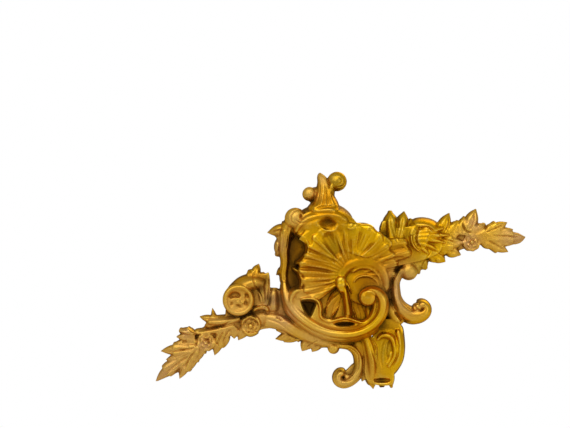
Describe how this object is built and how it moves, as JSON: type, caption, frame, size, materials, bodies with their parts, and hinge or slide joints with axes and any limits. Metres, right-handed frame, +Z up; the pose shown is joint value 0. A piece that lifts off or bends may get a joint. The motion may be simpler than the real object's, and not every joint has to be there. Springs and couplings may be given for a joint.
{
  "type": "shell ornament",
  "caption": "Cast and chased gilt shell ornament with scrolls, a horn and two leafy arms, flat behind, to be pinned to furniture or a panel.",
  "frame": {"origin": "on the flat back, behind the boss of the shell", "axes": "+X towards the tip of the right arm, +Y out of the flat back, +Z up towards the crest; the carved face looks along -Y"},
  "size_m": [0.2973, 0.037, 0.1742],
  "materials": {
    "gilt_bronze": "worn gilding on cast bronze, bright on the raised parts, brown in the recesses"
  },
  "bodies": {
    "root": {"shell_ornament": "gilt_bronze"}
  },
  "joints": []
}
